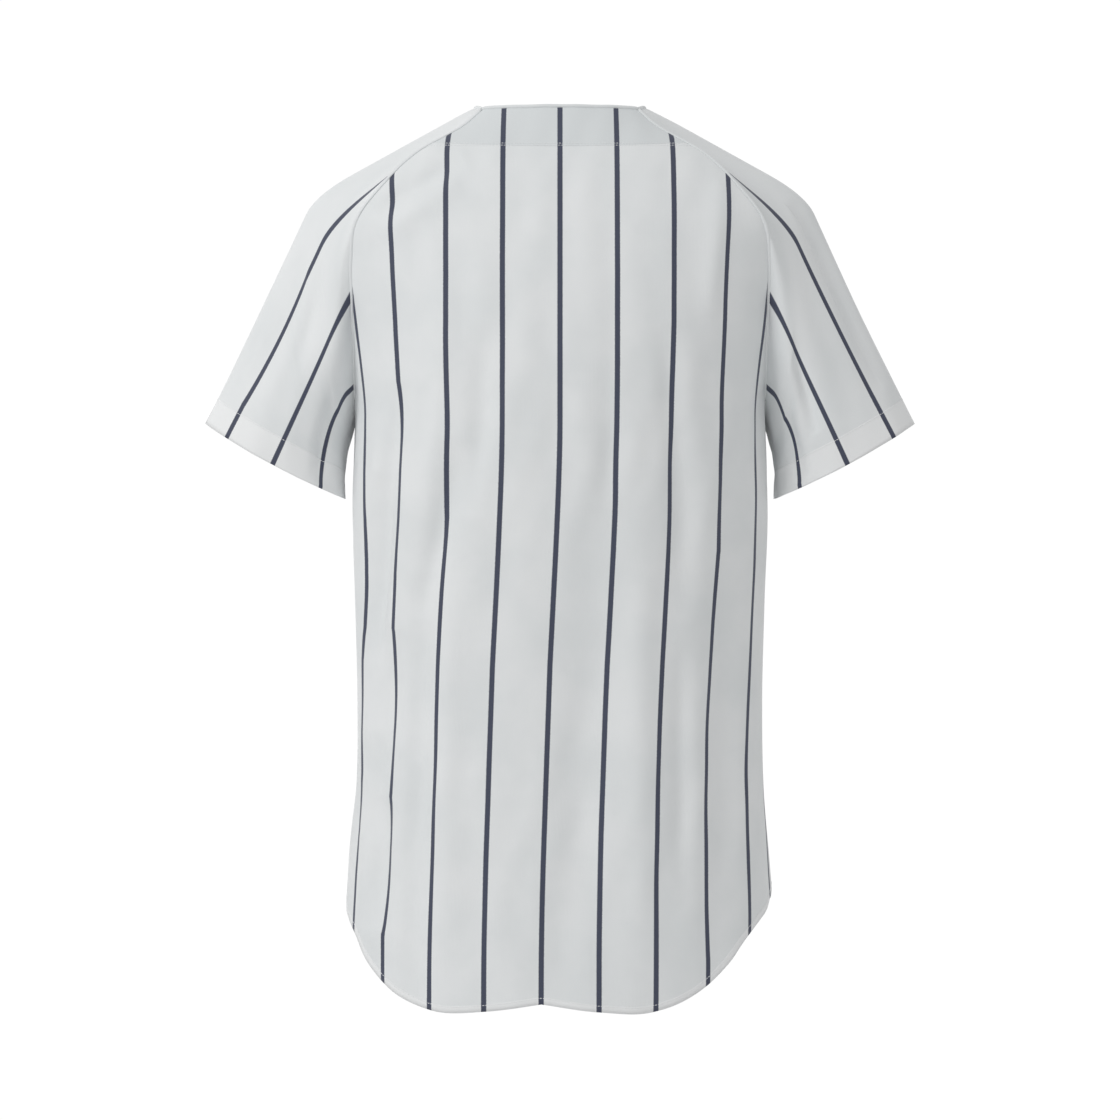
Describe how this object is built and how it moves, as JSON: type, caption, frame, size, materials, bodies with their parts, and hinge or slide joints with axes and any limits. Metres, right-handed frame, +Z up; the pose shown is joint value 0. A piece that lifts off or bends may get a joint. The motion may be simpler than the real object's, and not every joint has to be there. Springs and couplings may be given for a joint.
{
  "type": "baseball jersey",
  "caption": "White baseball jersey with navy pinstripes, raglan short sleeves and a shirt-tail hem, filled out as worn with no wearer.",
  "frame": {"origin": "middle of the neck opening, level with the back neck edge, where the wearer holds the jersey up", "axes": "+Z up towards the neck, -Y out of the buttoned front, +Y out of the back, +X towards the wearer's left"},
  "size_m": [0.6496, 0.2815, 0.8094],
  "materials": {
    "cloth": "matte",
    "facing": "matte",
    "button": "gloss"
  },
  "bodies": {
    "root": {"back": "cloth", "front_left": "cloth", "front_right": "cloth", "sleeve_left": "cloth", "sleeve_right": "cloth", "button_band": "cloth", "back_neck_facing": "facing", "button_1": "button", "button_2": "button", "button_3": "button", "button_4": "button", "button_5": "button", "button_6": "button"}
  },
  "joints": []
}
